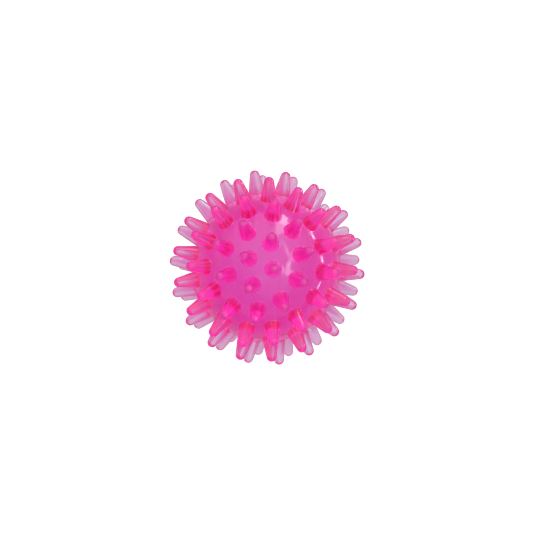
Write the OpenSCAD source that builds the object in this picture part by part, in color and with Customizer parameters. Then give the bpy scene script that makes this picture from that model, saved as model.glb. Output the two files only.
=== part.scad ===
// Spiky sensory ball: a hollow ball of clear soft rubber, moulded as two half shells that are welded at the
// equator. Each half carries one spike at its pole and rings of spikes round it. The ball stands on the lower
// pole spike and two of its neighbours. The origin is the centre of the ball, and +Z is up.

/* [Body] */
// Outside diameter of the hollow body, without its spikes
body_d = 57; // [48:0.5:75]
// Thickness of the soft wall
wall = 5.5; // [2:0.1:8]

/* [Spikes] */
// Length of a spike, from the body's surface to its tip
spike_len = 9; // [6:0.5:12]
// Diameter of a spike where it leaves the body
spike_base_d = 6.5; // [4.5:0.1:7]
// Diameter of a spike's round tip
spike_tip_d = 3.7; // [2.5:0.1:4]
// Diameter of the pit that the moulding gate leaves in the tip of each pole spike
gate_d = 1.4; // [0.8:0.1:2]
// Depth of that pit, from the tip
gate_depth = 0.5; // [0.3:0.05:1.5]

/* [Weld] */
// Height of the weld band inside the equator
weld_h = 4; // [2:0.1:6]
// Thickness of the weld band
weld_t = 1.4; // [1:0.1:2.5]
// How far the weld band is let into the wall
weld_seat = 0.7; // [0.4:0.1:0.9]
// Equator spikes by which the lower half is turned against the upper half
weld_steps = 2; // [0:1:17]

/* [Standing] */
// Number of the pair of spikes next to the lower pole that the ball stands on
standing_pair = 1; // [0:1:5]

/* [Hidden] */
$fn = 96;

// Colours of the clear pink rubber, deeper where it is solid
shell_colour = [0.92, 0.32, 0.70];
spike_colour = [0.96, 0.25, 0.62];
weld_colour = [0.85, 0.22, 0.60];

// One named overrun serves all cuts
overrun = wall;

// Rings of spikes in each half. The equator lies half a step past the last ring.
ring_count = 4;
equator_step_share = 0.5;
ring_pitch = 90 / (ring_count + equator_step_share);

// Radii of the body
body_r = body_d / 2;
cavity_r = body_r - wall;

// A spike is a cone that runs smoothly into a ball. It stands on the flat seat that its base circle spans.
base_r = spike_base_d / 2;
tip_r = spike_tip_d / 2;
seat_r = sqrt(body_r ^ 2 - base_r ^ 2);
tip_centre = body_r + spike_len - tip_r;
tip_reach = tip_centre - seat_r;
taper = atan(base_r / tip_reach) - asin(tip_r / norm([base_r, tip_reach]));
rim_r = tip_r * cos(taper);
rim_h = tip_reach + tip_r * sin(taper);

// The weld band bridges both halves inside the wall
weld_outer_r = cavity_r + weld_seat;
weld_inner_r = weld_outer_r - weld_t;

// How the halves are turned, and how the ball stands on three tips
weld_turn = weld_steps * 360 / ring_spikes(ring_count);
half_gap = 180 / ring_spikes(1);
lean_azimuth = weld_turn + (2 * standing_pair + 1) * half_gap;
lean = atan((1 - cos(ring_pitch)) / (sin(ring_pitch) * cos(half_gap)));

// Spikes of a ring, spaced about as far from each other as the rings are
function ring_spikes(ring) = round(360 / ring_pitch * sin(ring * ring_pitch));

// Sets the ball down on the lower pole spike and the chosen pair of its neighbours
module standing() {
    rotate([0, lean, 0]) rotate([0, 0, -lean_azimuth]) children();
}

// Turns an upper half into the lower one
module as_lower() {
    rotate([0, 0, weld_turn]) mirror([0, 0, 1]) children();
}

// Repeats a shape that stands on the pole at each spike of a ring
module at_ring(ring) {
    for (i = [0 : ring_spikes(ring) - 1])
        rotate([0, 0, i * 360 / ring_spikes(ring)]) rotate([0, ring * ring_pitch, 0]) children();
}

// One spike on the pole: a cone from the seat to the rim of its tip, and the round tip above that rim
module spike() {
    translate([0, 0, seat_r]) {
        cylinder(h = rim_h, r1 = base_r, r2 = rim_r);
        intersection() {
            translate([0, 0, tip_reach]) sphere(tip_r);
            translate([0, 0, rim_h]) cylinder(h = spike_tip_d, r = spike_tip_d);
        }
    }
}

// A pole spike, with the pit that the gate leaves in its tip
module pole_spike() {
    difference() {
        spike();
        translate([0, 0, tip_centre + tip_r - gate_depth]) cylinder(h = gate_depth + overrun, d = gate_d);
    }
}

// The cut that leaves a spike's flat seat in the body
module seat_cut() {
    translate([0, 0, seat_r]) cylinder(h = overrun, d = spike_base_d + overrun);
}

// One half shell, upper side: a hollow half ball with its seats and the recess of the weld band
module half_shell() {
    difference() {
        intersection() {
            sphere(body_r);
            cylinder(h = body_d, r = body_d);
        }
        sphere(cavity_r);
        translate([0, 0, -overrun]) cylinder(h = weld_h / 2 + overrun, r = weld_outer_r);
        seat_cut();
        for (ring = [1 : ring_count]) at_ring(ring) seat_cut();
    }
}

module upper_half_shell() {
    color(shell_colour) standing() half_shell();
}

module lower_half_shell() {
    color(shell_colour) standing() as_lower() half_shell();
}

// The band of melted rubber that joins the halves
module weld_band() {
    color(weld_colour) standing() difference() {
        cylinder(h = weld_h, r = weld_outer_r, center = true);
        cylinder(h = weld_h + 2 * overrun, r = weld_inner_r, center = true);
    }
}

module upper_pole_spike() {
    color(spike_colour) standing() pole_spike();
}

module lower_pole_spike() {
    color(spike_colour) standing() as_lower() pole_spike();
}

module upper_spike_ring(ring) {
    color(spike_colour) standing() at_ring(ring) spike();
}

module lower_spike_ring(ring) {
    color(spike_colour) standing() as_lower() at_ring(ring) spike();
}

upper_half_shell();
lower_half_shell();
weld_band();
upper_pole_spike();
upper_spike_ring(1);  // upper_spike_ring_1
upper_spike_ring(2);  // upper_spike_ring_2
upper_spike_ring(3);  // upper_spike_ring_3
upper_spike_ring(4);  // upper_spike_ring_4
lower_pole_spike();
lower_spike_ring(1);  // lower_spike_ring_1
lower_spike_ring(2);  // lower_spike_ring_2
lower_spike_ring(3);  // lower_spike_ring_3
lower_spike_ring(4);  // lower_spike_ring_4
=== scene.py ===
"""Looks of the spiky sensory ball: two clear pink rubber mouldings, welded at the equator, on a table."""

import math

import bpy
import numpy as np
from mathutils import Matrix, Vector
from mathutils.geometry import delaunay_2d_cdt

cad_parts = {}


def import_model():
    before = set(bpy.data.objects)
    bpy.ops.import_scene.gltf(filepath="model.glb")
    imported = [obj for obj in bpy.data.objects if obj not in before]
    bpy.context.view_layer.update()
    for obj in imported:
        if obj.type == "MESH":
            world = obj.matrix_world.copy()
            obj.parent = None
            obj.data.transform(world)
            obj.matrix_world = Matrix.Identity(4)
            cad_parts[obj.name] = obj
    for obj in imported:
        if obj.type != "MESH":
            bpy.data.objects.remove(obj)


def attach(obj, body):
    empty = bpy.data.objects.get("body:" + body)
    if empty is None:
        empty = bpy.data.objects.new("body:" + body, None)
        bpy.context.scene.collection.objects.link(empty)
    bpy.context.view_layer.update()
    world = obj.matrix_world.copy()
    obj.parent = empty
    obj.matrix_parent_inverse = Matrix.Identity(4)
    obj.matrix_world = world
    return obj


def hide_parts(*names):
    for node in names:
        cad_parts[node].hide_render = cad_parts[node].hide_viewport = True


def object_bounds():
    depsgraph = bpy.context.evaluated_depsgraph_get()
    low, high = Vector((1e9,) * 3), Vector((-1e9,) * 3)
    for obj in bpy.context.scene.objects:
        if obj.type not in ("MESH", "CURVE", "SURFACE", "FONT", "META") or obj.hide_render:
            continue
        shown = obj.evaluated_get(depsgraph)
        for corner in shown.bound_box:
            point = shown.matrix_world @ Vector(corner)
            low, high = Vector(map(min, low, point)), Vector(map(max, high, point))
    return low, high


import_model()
cad_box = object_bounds()

MM = 0.001
FULL_TURN = 2 * math.pi
WHITE = (1, 1, 1, 1)
BLACK = (0, 0, 0, 1)

# Sizes of the ball, as in the CAD model, but with spikes a hair shorter, so that they stay inside its box
BODY_R = 28.5 * MM
CAVITY_R = 23.0 * MM
SPIKE_LEN = 8.995 * MM
SPIKE_BASE_R = 3.25 * MM
SPIKE_TIP_R = 1.85 * MM
ROOT_FILLET_R = 0.15 * MM

# The pit that the moulding gate leaves in the tip of a pole spike, and how far its floor rises in the middle
GATE_R = 0.7 * MM
GATE_DEPTH = 0.5 * MM
GATE_EDGE_R = 0.15 * MM
GATE_RISE = 0.125 * MM

# Rings of spikes in each half. The equator lies half a step past the last ring.
RINGS = 4
EQUATOR_STEP_SHARE = 0.5
PITCH = math.radians(90) / (RINGS + EQUATOR_STEP_SHARE)

# Equator spikes by which the lower half is turned, and the pair next to its pole that the ball stands on
WELD_STEPS = 2
STANDING_PAIR = 1

# The weld: a fine notch outside, as height and depth of each row, a hair of room between the halves, and a
# rounded bead inside, with its room to the cavity's wall
NOTCH_ROWS = ((0.30 * MM, 0.0), (0.12 * MM, 0.04 * MM), (0.0, 0.10 * MM))
WELD_ROOM = 0.01 * MM
BEAD_HALF_H = 2.0 * MM
BEAD_INNER_R = 22.3 * MM
BEAD_ROOM = 0.05 * MM

# Mesh density: points round a spike and round the equator, and points along each stretch of an outline
SPIKE_SIDES = 64
EQUATOR_POINTS = 252
FILLET_ROWS = 5
CONE_ROWS = 7
CAP_ROWS = 8
CAVITY_ROWS = 56
BEAD_WALL_ROWS = 9
BEAD_ROUND_ROWS = 13

# The skin between the spikes: the angle from row to row, the fewest points in a row, how far rows stay from a
# spike's collar as a share of that angle, and the share of a step by which a row is turned against the next
SKIN_STEP = math.radians(2.0)
LEAST_IN_ROW = 6
COLLAR_GAP_SHARE = 0.7
STAGGER_SHARE = 0.5
MERGE_DISTANCE = 1e-7
SHARP_ANGLE = math.radians(50)

# The photograph's frame and view
IMAGE_W = 533
IMAGE_H = 534
BALL_PX = (266.9, 267.6)
PX_PER_BODY_R = 74.4
CAMERA_DISTANCE = 42.7 * BODY_R
CAMERA_AZIMUTH = math.radians(-135.85)
CAMERA_ELEVATION = math.radians(85.2)
CAMERA_ROLL = math.radians(-30.06)
CAMERA_REACH = 20.0
SENSOR = 36.0

# The rubber: what it takes from the light on its way, its tint at the cavity's wall, which is deeper there as
# painted shade that darkens the view through the body, its tint at the skin, clear and cloudy, and the limits
# between which the noise of the clouds goes from clear to cloudy
RUBBER_COLOUR = (1.0, 0.0, 0.82, 1)
RUBBER_DENSITY = 140.0
RUBBER_IOR = 1.5
# Painted shade: this deeper tint at the cavity's wall darkens the view through the body
CAVITY_PAINTED_SHADE_TINT = (0.97, 0.41, 0.95, 1)
CLEAR_TINT = (1.0, 1.0, 0.97, 1)
CLOUDY_TINT = (1.0, 0.86, 0.93, 1)
CLOUD_SIZE = 6.0 * MM
CLOUD_DETAIL = 3.0
CLOUD_EDGE = (0.35, 0.65)

# Its roughness: where light goes in, clear and cloudy, where it comes out of the body and of the spikes, at
# the cavity's wall, and in the gloss
SKIN_ROUGH = (0.28, 0.34)
BODY_HAZE = 0.30
SPIKE_HAZE = 0.20
CAVITY_GRAIN = 0.60
GLOSS_ROUGH = 0.10

# How far from the cavity's wall and from the body's skin their values fade into the next ones
CAVITY_FADE = (0.2 * MM, 1.0 * MM)
ROOT_FADE = (0.1 * MM, 0.8 * MM)

# Marks of the mould's polishing, which run up the picture: how many go by in one radian, and how deep they
# are. The fine grain has its size, and its share of that depth.
MARKS = 22.0
MARK_DETAIL = 2.0
MARK_DEPTH = 0.015 * MM
GRAIN_SIZE = 1.6 * MM
GRAIN_DETAIL = 1.0
GRAIN_SHARE = 0.35
NOISE_MIDDLE = 0.5

# The table, and how bright its own white is to light in the rubber and to the gloss
TABLE_R = 4.0
TABLE_SIDES = 96
TABLE_COLOUR = (0.92, 0.92, 0.92, 1)
TABLE_ROUGH = 0.8
TABLE_LEVEL = 0.65
TABLE_IN_GLOSS = 0.30

# How far the table and the world show their own white instead of their light, by kind of ray
TABLE_WHITE = {"Is Camera Ray": 0.92, "Is Glossy Ray": 1.0, "Is Transmission Ray": 1.0}
WORLD_WHITE = {"Is Camera Ray": 1.0, "Is Glossy Ray": 0.1, "Is Transmission Ray": 0.1}

# The soft light from above: its middle in the photograph's own axes, its edge as cosines, and the two levels
SKY_CENTRE = (0.05, 0.70, 1.0)
SKY_EDGE = (0.30, 0.95)
SKY_LOW = 0.80
SKY_HIGH = 2.05

# The lamps that show in the gloss, in metres in the photograph's own axes: right, up, back to the camera.
# Each has its place, its width and height, the way its back points, its tilt to the left in degrees, and its
# radiance. FROM_BALL stands for straight away from the ball.
LAMP_COLOUR = (0.65, 1.0, 1.0)
TO_CAMERA = (0, 0, 1)
TO_RIGHT = (1, 0, 0)
FROM_BALL = None
LAMPS = {
    "bow_low": ((0.64, 0.01, 1.0), (0.17, 0.52), TO_CAMERA, -22, 5.0),
    "bow_low_core": ((0.66, 0.02, 1.0), (0.10, 0.36), TO_CAMERA, -22, 7.0),
    "bow_high": ((0.64, 0.62, 1.0), (0.13, 1.00), TO_CAMERA, 10, 2.6),
    "window": ((0.29, 0.90, 0.22), (0.22, 0.90), FROM_BALL, 0, 3.2),
    "window_core": ((0.30, 0.90, 0.05), (0.16, 0.46), FROM_BALL, 0, 3.2),
    "right_lamp": ((1.00, 0.45, 1.0), (0.16, 0.30), TO_CAMERA, 0, 18.0),
    "left_strip": ((-0.48, 0.72, 0.50), (0.14, 0.50), FROM_BALL, 0, 5.0),
    "low_strip": ((0.47, -0.67, 0.60), (0.13, 0.34), FROM_BALL, 0, 5.0),
    "low_panel": ((0.30, -0.60, 1.0), (1.30, 1.25), TO_CAMERA, 0, 0.6),
    "low_panel_middle": ((0.32, -0.55, 1.0), (0.95, 0.90), TO_CAMERA, 0, 0.6),
    "low_panel_core": ((0.34, -0.50, 1.0), (0.60, 0.55), TO_CAMERA, 0, 0.5),
    "side_strip": ((0.34, 0.03, -0.018), (0.56, 0.032), TO_RIGHT, 0, 12.0),
}

# How light is followed: the width of a pixel's filter, and how often rubber and plain surfaces may turn a ray
FILTER_WIDTH = 1.0
RUBBER_BOUNCES = 64
PLAIN_BOUNCES = 16


def ring_spikes(ring):
    """How many spikes a ring has: about as far apart as the rings are."""
    return round(FULL_TURN / PITCH * math.sin(ring * PITCH))


def spike_turns():
    """The rotation that carries a spike from the pole to each place on the upper half, the pole first."""
    turns = [Matrix.Identity(3)]
    for ring in range(1, RINGS + 1):
        tilt = Matrix.Rotation(ring * PITCH, 3, "Y")
        for i in range(ring_spikes(ring)):
            turns.append(Matrix.Rotation(FULL_TURN * i / ring_spikes(ring), 3, "Z") @ tilt)
    return turns


def weld_turn():
    """How far the lower half is turned against the upper one."""
    return WELD_STEPS * FULL_TURN / ring_spikes(RINGS)


def standing():
    """The rotation that sets the ball down on the lower pole spike and two of its neighbours."""
    half_gap = math.pi / ring_spikes(1)
    lean_azimuth = weld_turn() + (2 * STANDING_PAIR + 1) * half_gap
    lean = math.atan((1 - math.cos(PITCH)) / (math.sin(PITCH) * math.cos(half_gap)))
    return Matrix.Rotation(lean, 4, "Y") @ Matrix.Rotation(-lean_azimuth, 4, "Z")


def arc(centre, radius, start, end, count):
    """Points on an arc in the plane of a profile, both ends included."""
    angles = np.linspace(start, end, count)
    return [(centre[0] + radius * math.cos(a), centre[1] + radius * math.sin(a)) for a in angles]


def root_fillet(base, out, along):
    """The arc at a spike's root, which touches the body and the cone that starts at the base."""
    start = base + ROOT_FILLET_R * out
    ahead = start @ along
    excess = start @ start - (BODY_R + ROOT_FILLET_R) ** 2
    centre = start + (-ahead + math.sqrt(ahead * ahead - excess)) * along
    to_body = math.atan2(-centre[1], -centre[0])
    to_cone = math.atan2(-out[1], -out[0])
    return arc(centre, ROOT_FILLET_R, to_body % FULL_TURN, to_cone % FULL_TURN, FILLET_ROWS)


def gated_tip(tip, taper):
    """A round tip with the gate's pit: a rounded edge, a straight side and a floor that rises to the axis."""
    edge_reach = SPIKE_TIP_R - GATE_EDGE_R
    edge_angle = math.acos((GATE_R + GATE_EDGE_R) / edge_reach)
    edge = (edge_reach * math.cos(edge_angle), tip + edge_reach * math.sin(edge_angle))
    floor = tip + SPIKE_TIP_R - GATE_DEPTH
    cap = arc((0, tip), SPIKE_TIP_R, taper, edge_angle, CAP_ROWS)
    lip = arc(edge, GATE_EDGE_R, edge_angle, math.pi, FILLET_ROWS)[1:]
    pit = [(GATE_R, floor), (GATE_R / 2, floor + GATE_RISE / 2), (0, floor + GATE_RISE)]
    return cap + lip + pit


def plain_tip(tip, taper):
    """A round tip, which ends on the spike's axis."""
    cap = arc((0, tip), SPIKE_TIP_R, taper, math.pi / 2, CAP_ROWS)
    return cap[:-1] + [(0, tip + SPIKE_TIP_R)]


def spike_profile(made_tip):
    """Half outline of a spike from root to tip, as (distance from its axis, height above the centre)."""
    seat = math.sqrt(BODY_R**2 - SPIKE_BASE_R**2)
    tip = BODY_R + SPIKE_LEN - SPIKE_TIP_R
    reach = math.hypot(SPIKE_BASE_R, tip - seat)
    taper = math.atan2(SPIKE_BASE_R, tip - seat) - math.asin(SPIKE_TIP_R / reach)
    out = np.array((math.cos(taper), math.sin(taper)))
    along = np.array((-math.sin(taper), math.cos(taper)))
    fillet = root_fillet(np.array((SPIKE_BASE_R, seat)), out, along)
    rim = np.array((0, tip)) + SPIKE_TIP_R * out
    foot = np.array(fillet[-1])
    cone = [tuple(foot + (rim - foot) * k / CONE_ROWS) for k in range(1, CONE_ROWS)]
    return fillet + cone + made_tip(tip, taper)


class Skin:
    """Collects the points and faces of one mesh."""

    def __init__(self):
        self.points = []
        self.faces = []

    def add(self, points):
        """Adds points and returns their numbers."""
        first = len(self.points)
        self.points += [tuple(p) for p in points]
        return list(range(first, len(self.points)))

    def band(self, low, high):
        """Joins two closed rows of as many points by four-sided faces."""
        n = len(low)
        for i in range(n):
            j = (i + 1) % n
            self.faces.append((low[i], low[j], high[j], high[i]))

    def fan(self, row, tip):
        """Closes a row with triangles that meet in one point."""
        n = len(row)
        self.faces += [(row[i], row[(i + 1) % n], tip) for i in range(n)]

    def to_object(self, name, placed):
        """Makes the object, with its points carried to their place in the frame."""
        mesh = bpy.data.meshes.new(name)
        mirrored = placed.determinant() < 0
        faces = [tuple(reversed(f)) for f in self.faces] if mirrored else self.faces
        mesh.from_pydata([placed @ Vector(p) for p in self.points], [], faces)
        mesh.validate()
        mesh.shade_smooth()
        mesh.set_sharp_from_angle(angle=SHARP_ANGLE)
        made = bpy.data.objects.new(name, mesh)
        bpy.context.scene.collection.objects.link(made)
        return made


def circle(radius, height, count, phase=0.0):
    """Points of a level circle round the Z axis, turned by a share of a step."""
    turns = [FULL_TURN * (i + phase) / count for i in range(count)]
    return [Vector((radius * math.cos(t), radius * math.sin(t), height)) for t in turns]


def sphere_row(polar, count):
    """Directions at one angle from the pole, evenly round it."""
    return circle(math.sin(polar), math.cos(polar), count)


def half_ball_points(turns, root_angle):
    """Directions of the body's points, as three lists: the spikes' root circles, the rest, and the notch."""
    roots = [turn @ p for turn in turns for p in sphere_row(root_angle, SPIKE_SIDES)]
    collar = root_angle + SKIN_STEP
    ring = circle(math.sin(collar), math.cos(collar), SPIKE_SIDES, STAGGER_SHARE)
    rest = [turn @ p for turn in turns for p in ring]
    axes = np.array([turn @ Vector((0, 0, 1)) for turn in turns])
    clear = math.cos(collar + COLLAR_GAP_SHARE * SKIN_STEP)
    polar = SKIN_STEP
    while polar < math.pi / 2 - SKIN_STEP / 2:
        count = max(LEAST_IN_ROW, round(FULL_TURN * math.sin(polar) / SKIN_STEP))
        rest += [p for p in sphere_row(polar, count) if (axes @ np.array(p)).max() < clear]
        polar += SKIN_STEP
    notch = []
    for k, (height, _) in enumerate(NOTCH_ROWS):
        level = math.asin(height / BODY_R)
        notch += circle(math.cos(level), math.sin(level), EQUATOR_POINTS, STAGGER_SHARE * (k % 2))
    return roots, rest, notch


def add_body(skin, turns, root_angle):
    """Adds the body's outside between the spikes. Returns each spike's root circle, and the equator's row."""
    roots, rest, notch = half_ball_points(turns, root_angle)
    directions = roots + rest + notch
    depth = [0.0] * (len(roots) + len(rest))
    for _, inset in NOTCH_ROWS:
        depth += [inset] * EQUATOR_POINTS
    points = [p * (BODY_R - d) for p, d in zip(directions, depth)]
    circles = [list(range(k * SPIKE_SIDES, (k + 1) * SPIKE_SIDES)) for k in range(len(turns))]
    equator = list(range(len(directions) - EQUATOR_POINTS, len(directions)))
    for i in equator:
        points[i].z += WELD_ROOM
    body = skin.add(points)

    # Triangles are found in a flat map that keeps circles round, and those inside a root circle are left out
    flat = [Vector((2 * p.x / (1 + p.z), 2 * p.y / (1 + p.z))) for p in directions]
    edges = [(row[i], row[(i + 1) % len(row)]) for row in circles + [equator] for i in range(len(row))]
    found = delaunay_2d_cdt(flat, edges, [], 0, MERGE_DISTANCE)
    triangles = found[2]
    origins = [sources[0] for sources in found[3]]
    for triangle in triangles:
        a, b, c = (origins[v] for v in triangle)
        on_roots = max(a, b, c) < len(roots)
        same_root = a // SPIKE_SIDES == b // SPIKE_SIDES == c // SPIKE_SIDES
        if not (on_roots and same_root):
            skin.faces.append((body[a], body[b], body[c]))
    return [[body[i] for i in row] for row in circles], [body[i] for i in equator]


def add_spike(skin, turn, outline, root):
    """Adds one spike, joined to its root circle."""
    low = root
    for r, z in outline[1:-1]:
        high = skin.add([turn @ p for p in circle(r, z, SPIKE_SIDES)])
        skin.band(low, high)
        low = high
    tip = skin.add([turn @ Vector((0, 0, outline[-1][1]))])[0]
    skin.fan(low, tip)


def add_cavity(skin, equator):
    """Adds the weld face and the wall of the cavity."""
    high = equator
    for k in range(CAVITY_ROWS):
        polar = math.pi / 2 * (1 - k / CAVITY_ROWS)
        height = max(CAVITY_R * math.cos(polar), WELD_ROOM)
        low = skin.add(circle(CAVITY_R * math.sin(polar), height, EQUATOR_POINTS))
        skin.band(low, high)
        high = low
    top = skin.add([Vector((0, 0, CAVITY_R))])[0]
    skin.fan(high[::-1], top)


def moulding(name, placed):
    """One half of the ball: half the hollow body and its spikes, in one skin."""
    skin = Skin()
    turns = spike_turns()
    plain = spike_profile(plain_tip)
    gated = spike_profile(gated_tip)
    roots, equator = add_body(skin, turns, math.atan2(*plain[0]))
    add_spike(skin, turns[0], gated, roots[0])
    for turn, root in zip(turns[1:], roots[1:]):
        add_spike(skin, turn, plain, root)
    add_cavity(skin, equator)
    return skin.to_object(name, placed)


def weld_bead(placed):
    """The rounded band of melted rubber inside the weld."""
    skin = Skin()
    outer = CAVITY_R - BEAD_ROOM
    level = math.asin(BEAD_HALF_H / outer)
    on_wall = arc((0, 0), outer, -level, level, BEAD_WALL_ROWS)
    middle = (on_wall[0][0] + BEAD_INNER_R) / 2
    bulge = BEAD_INNER_R - middle
    angles = np.linspace(0, math.pi, BEAD_ROUND_ROWS)[1:-1]
    round_in = [(middle + bulge * math.sin(t), BEAD_HALF_H * math.cos(t)) for t in angles]
    rows = [skin.add(circle(r, z, EQUATOR_POINTS)) for r, z in on_wall + round_in]
    for low, high in zip(rows, rows[1:] + rows[:1]):
        skin.band(low, high)
    return skin.to_object("weld_seam", placed)


def fill(tree, socket, value):
    """Links an input to another node's output, or sets it to a plain value."""
    if isinstance(value, bpy.types.NodeSocket):
        tree.links.new(value, socket)
    else:
        socket.default_value = value


def node(tree, kind, operation=None, **inputs):
    """Adds a shader node. An input goes by its name with _ for a space, or by at and its number."""
    made = tree.nodes.new(kind)
    if operation:
        made.operation = operation
    for key, value in inputs.items():
        socket = made.inputs[int(key[2:])] if key.startswith("at") else made.inputs[key.replace("_", " ")]
        fill(tree, socket, value)
    return made


def vector_math(tree, operation, first, second=None):
    """Adds a calculation with vectors and returns its result."""
    inputs = {} if second is None else {"Scale" if operation == "SCALE" else "at1": second}
    made = node(tree, "ShaderNodeVectorMath", operation, at0=first, **inputs)
    return made.outputs["Value" if operation in ("LENGTH", "DOT_PRODUCT") else "Vector"]


def number_math(tree, operation, *values):
    """Adds a calculation with numbers and returns its result."""
    inputs = {f"at{i}": value for i, value in enumerate(values)}
    return node(tree, "ShaderNodeMath", operation, **inputs).outputs[0]


def noise(tree, place, scale, detail):
    """Adds noise by place and returns its value."""
    return node(tree, "ShaderNodeTexNoise", Vector=place, Scale=scale, Detail=detail).outputs[0]


def fade(tree, value, limits, low, high, course="LINEAR"):
    """A value that goes from low to high between two limits of another."""
    span = {"From_Min": limits[0], "From_Max": limits[1], "To_Min": low, "To_Max": high}
    made = node(tree, "ShaderNodeMapRange", Value=value, **span)
    made.interpolation_type = course
    return made.outputs[0]


def mix_number(tree, share, first, second):
    """A number between two."""
    return fade(tree, share, (0, 1), first, second)


def mix_colour(tree, share, first, second):
    """A colour between two."""
    made = tree.nodes.new("ShaderNodeMix")
    made.data_type = "RGBA"
    for socket, value in zip((made.inputs[0], made.inputs[6], made.inputs[7]), (share, first, second)):
        fill(tree, socket, value)
    return made.outputs[2]


def rubber():
    """Clear rubber tinted hot pink: glossy outside, hazy inside, with cloudy patches, faint marks, and
    painted shade as a deeper tint at the cavity's wall.
    """
    material = bpy.data.materials.new("clear_pink_rubber")
    material.use_nodes = True
    tree = material.node_tree
    tree.nodes.clear()
    place = tree.nodes.new("ShaderNodeTexCoord").outputs["Object"]
    radius = vector_math(tree, "LENGTH", place)
    inside = tree.nodes.new("ShaderNodeNewGeometry").outputs["Backfacing"]
    by_cavity = fade(tree, radius, [CAVITY_R + far for far in CAVITY_FADE], 0.0, 1.0)
    by_root = fade(tree, radius, [BODY_R + far for far in ROOT_FADE], 0.0, 1.0)

    # Polishing marks on the body
    along = view_axes().col[1]
    across = vector_math(tree, "SUBTRACT", place, vector_math(tree, "PROJECT", place, along))
    bearing = vector_math(tree, "SCALE", vector_math(tree, "NORMALIZE", across), MARKS)
    marks = number_math(tree, "SUBTRACT", noise(tree, bearing, 1.0, MARK_DETAIL), NOISE_MIDDLE)
    lines = number_math(tree, "MULTIPLY", marks, mix_number(tree, by_root, 1.0, 0.0))

    # The tint varies along them and in cloudy patches, and is deeper at the cavity's wall: that is painted
    # shade, which darkens the body as if the table under the ball lay in its shadow
    clouds = number_math(tree, "ADD", noise(tree, place, 1 / CLOUD_SIZE, CLOUD_DETAIL), lines)
    patches = fade(tree, clouds, CLOUD_EDGE, 0.0, 1.0)
    skin_tint = mix_colour(tree, patches, CLEAR_TINT, CLOUDY_TINT)
    rubber_tint_and_painted_shade = mix_colour(tree, by_cavity, CAVITY_PAINTED_SHADE_TINT, skin_tint)

    # Light that goes in is scattered a little, and so is light that comes out, by where it does
    entering = mix_number(tree, patches, *SKIN_ROUGH)
    leaving = mix_number(tree, by_root, BODY_HAZE, SPIKE_HAZE)
    skin_rough = mix_number(tree, inside, entering, leaving)
    haze = mix_number(tree, by_cavity, CAVITY_GRAIN, skin_rough)

    # The relief: the marks, and fine grain all over
    grain = noise(tree, place, 1 / GRAIN_SIZE, GRAIN_DETAIL)
    height = number_math(tree, "MULTIPLY_ADD", grain, GRAIN_SHARE, lines)
    relief = node(tree, "ShaderNodeBump", Height=height, Distance=MARK_DEPTH).outputs[0]

    # The gloss of the outside skin is a clear coat, so that the rubber under it can be hazy
    outside = number_math(tree, "SUBTRACT", 1.0, inside)
    gloss = number_math(tree, "MULTIPLY", outside, by_cavity)
    shader = node(
        tree,
        "ShaderNodeBsdfPrincipled",
        Base_Color=rubber_tint_and_painted_shade,
        Roughness=haze,
        Normal=relief,
        IOR=RUBBER_IOR,
        Transmission_Weight=1.0,
        Specular_Tint=BLACK,
        Coat_Weight=gloss,
        Coat_Roughness=GLOSS_ROUGH,
        Coat_Normal=relief,
    )
    absorption = node(tree, "ShaderNodeVolumeAbsorption", Color=RUBBER_COLOUR, Density=RUBBER_DENSITY)
    node(tree, "ShaderNodeOutputMaterial", Surface=shader.outputs[0], Volume=absorption.outputs[0])
    return material


def view_axes():
    """The photograph's own axes as columns: to the right, up the picture, and back to the camera."""
    back = Vector(
        (
            math.sin(CAMERA_AZIMUTH) * math.cos(CAMERA_ELEVATION),
            -math.cos(CAMERA_AZIMUTH) * math.cos(CAMERA_ELEVATION),
            math.sin(CAMERA_ELEVATION),
        )
    )
    right = Vector((0, 0, 1)).cross(back).normalized()
    level = Matrix((right, back.cross(right), back)).transposed()
    return level @ Matrix.Rotation(CAMERA_ROLL, 3, "Z")


def camera():
    """The photograph's view, from almost straight above."""
    axes = view_axes()
    data = bpy.data.cameras.new("camera")
    data.sensor_width = SENSOR
    longest = max(IMAGE_W, IMAGE_H)
    data.lens = SENSOR * PX_PER_BODY_R / longest * CAMERA_DISTANCE / BODY_R
    data.shift_x = (IMAGE_W / 2 - BALL_PX[0]) / longest
    data.shift_y = (BALL_PX[1] - IMAGE_H / 2) / longest
    data.clip_end = CAMERA_REACH
    made = bpy.data.objects.new("camera", data)
    made.matrix_world = Matrix.Translation(axes.col[2] * CAMERA_DISTANCE) @ axes.to_4x4()
    bpy.context.scene.collection.objects.link(made)
    bpy.context.scene.camera = made


def own_white(tree, shares):
    """How far a surface shows its own white, by the kind of ray that meets it, instead of how it is lit."""
    rays = tree.nodes.new("ShaderNodeLightPath").outputs
    total = 0.0
    for kind, share in shares.items():
        term = node(tree, "ShaderNodeMath", "MULTIPLY_ADD", at0=rays[kind], at1=share, at2=total)
        term.use_clamp = True
        total = term.outputs[0]
    return total


def white_table():
    """White that keeps the ball's shadow, and is dimmer to the gloss than to light in the rubber."""
    material = bpy.data.materials.new("white_table")
    material.use_nodes = True
    tree = material.node_tree
    lit = tree.nodes["Principled BSDF"]
    lit.inputs["Base Color"].default_value = TABLE_COLOUR
    lit.inputs["Roughness"].default_value = TABLE_ROUGH
    rays = tree.nodes.new("ShaderNodeLightPath").outputs
    mirrored = mix_number(tree, rays["Is Glossy Ray"], TABLE_LEVEL, TABLE_IN_GLOSS)
    level = mix_number(tree, rays["Is Transmission Ray"], mirrored, TABLE_LEVEL)
    strength = mix_number(tree, rays["Is Camera Ray"], level, 1.0)
    own = node(tree, "ShaderNodeEmission", Color=WHITE, Strength=strength)
    share = own_white(tree, TABLE_WHITE)
    mix = node(tree, "ShaderNodeMixShader", at0=share, at1=lit.outputs[0], at2=own.outputs[0])
    tree.links.new(mix.outputs[0], tree.nodes["Material Output"].inputs["Surface"])
    return material


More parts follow.
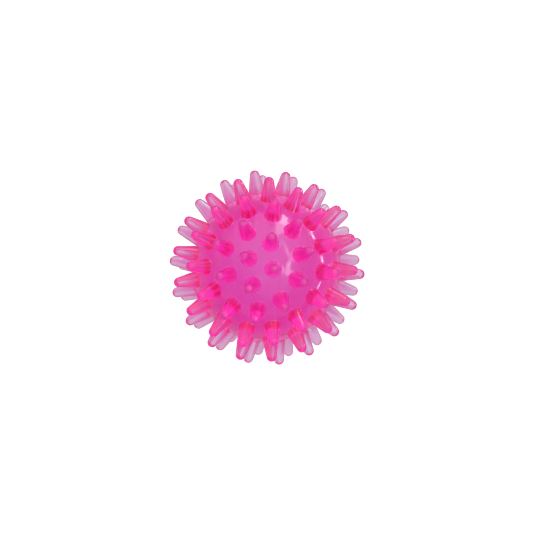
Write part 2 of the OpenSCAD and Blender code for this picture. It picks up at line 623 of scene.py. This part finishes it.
def table_top(height):
    """A plain white table that fades into the white world."""
    skin = Skin()
    rim = skin.add(circle(TABLE_R, height, TABLE_SIDES))
    skin.faces.append(tuple(rim))
    made = skin.to_object("table_top", Matrix.Identity(4))
    made.data.materials.append(white_table())


def lamp(name, place, size, back, tilt, radiance):
    """An oval lamp of cool white, which the gloss shows and which doesn't shine through the rubber."""
    data = bpy.data.lights.new(name, "AREA")
    data.shape = "ELLIPSE"
    data.color = LAMP_COLOUR
    data.size, data.size_y = size
    area = math.pi / 4 * size[0] * size[1]
    data.energy = math.pi * radiance * area
    made = bpy.data.objects.new(name, data)
    axes = view_axes()
    aim = Vector(back or place).to_track_quat("Z", "Y").to_matrix()
    turned = axes @ aim @ Matrix.Rotation(math.radians(tilt), 3, "Z")
    made.matrix_world = Matrix.Translation(axes @ Vector(place)) @ turned.to_4x4()
    made.visible_camera = False
    made.visible_transmission = False
    bpy.context.scene.collection.objects.link(made)


def world():
    """White behind the ball, and for other rays a soft light that is brightest above."""
    made = bpy.data.worlds.new("studio")
    made.use_nodes = True
    tree = made.node_tree
    direction = tree.nodes.new("ShaderNodeTexCoord").outputs["Generated"]
    middle = (view_axes() @ Vector(SKY_CENTRE)).normalized()
    nearness = vector_math(tree, "DOT_PRODUCT", direction, middle)
    level = fade(tree, nearness, SKY_EDGE, SKY_LOW, SKY_HIGH, "SMOOTHSTEP")
    sky = tree.nodes["Background"].inputs
    sky["Color"].default_value = WHITE
    fill(tree, sky["Strength"], mix_number(tree, own_white(tree, WORLD_WHITE), level, 1.0))
    bpy.context.scene.world = made


def follow_light():
    """Lets light go through the many walls of the ball with no added blur."""
    cycles = bpy.context.scene.cycles
    cycles.filter_width = FILTER_WIDTH
    cycles.blur_glossy = 0.0
    cycles.max_bounces = RUBBER_BOUNCES
    cycles.diffuse_bounces = PLAIN_BOUNCES
    cycles.glossy_bounces = RUBBER_BOUNCES
    cycles.transmission_bounces = RUBBER_BOUNCES


UPPER_NODES = ["upper_half_shell", "upper_pole_spike"] + [f"upper_spike_ring_{r + 1}" for r in range(RINGS)]
LOWER_NODES = [name.replace("upper", "lower") for name in UPPER_NODES]

camera()
stand = standing()
lower = stand @ Matrix.Rotation(weld_turn(), 4, "Z") @ Matrix.Scale(-1, 4, (0, 0, 1))
pieces = {
    moulding("upper_moulding", stand): UPPER_NODES,
    moulding("lower_moulding", lower): LOWER_NODES,
    weld_bead(stand): ["weld_band"],
}
pink = rubber()
for piece, nodes in pieces.items():
    piece.data.materials.append(pink)
    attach(piece, "root")
    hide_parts(*nodes)

table_top(cad_box[0].z)
world()
for name, values in LAMPS.items():
    lamp(name, *values)

bpy.context.scene.view_settings.view_transform = "Standard"
follow_light()
